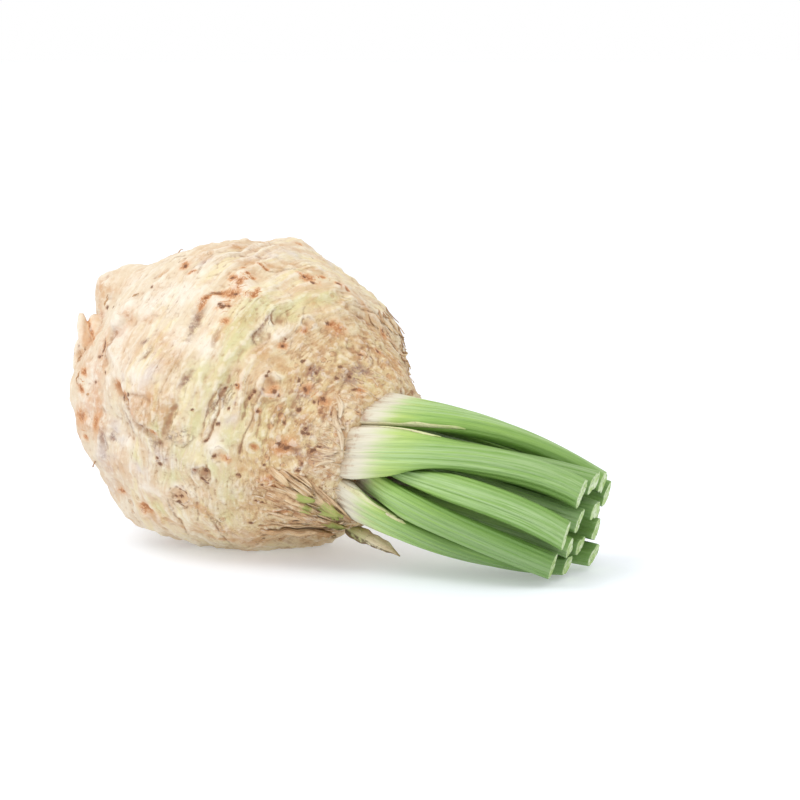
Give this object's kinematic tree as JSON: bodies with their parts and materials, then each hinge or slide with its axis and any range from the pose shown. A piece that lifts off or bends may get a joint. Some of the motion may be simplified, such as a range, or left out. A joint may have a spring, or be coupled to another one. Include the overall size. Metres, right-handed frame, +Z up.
{
  "type": "celeriac",
  "caption": "Whole celeriac lying on its side: a knobbly cream root with trimmed side roots, and a bundle of cut green leaf stalks leaving its crown.",
  "frame": {"origin": "on the table, under the middle of the root's globe", "axes": "+Z up, +X towards the side on which the leaf stalks leave the root, +Y away from the front view"},
  "size_m": [0.2035, 0.1475, 0.1169],
  "materials": {
    "skin": "matt, dry root skin, cream with brown creases and scars",
    "leaf_stalk": "satin, ribbed green plant stalk, paler at its base",
    "old_leaf_base": "matt, papery, cream to brown with green cut ends",
    "withered_leaf": "matt, dried leaf, tan and dull green"
  },
  "bodies": {
    "root": {"bulb": "skin", "leaf_stalk_01": "leaf_stalk", "leaf_stalk_02": "leaf_stalk", "leaf_stalk_03": "leaf_stalk", "leaf_stalk_04": "leaf_stalk", "leaf_stalk_05": "leaf_stalk", "leaf_stalk_06": "leaf_stalk", "leaf_stalk_07": "leaf_stalk", "leaf_stalk_08": "leaf_stalk", "leaf_stalk_09": "leaf_stalk", "leaf_stalk_10": "leaf_stalk", "leaf_stalk_11": "leaf_stalk", "leaf_stalk_12": "leaf_stalk", "leaf_stalk_13": "leaf_stalk", "leaf_stalk_14": "leaf_stalk", "old_leaf_base_1": "old_leaf_base", "old_leaf_base_2": "old_leaf_base", "old_leaf_base_3": "old_leaf_base", "old_leaf_base_4": "old_leaf_base", "old_leaf_base_5": "old_leaf_base", "withered_leaf": "withered_leaf"}
  },
  "joints": []
}
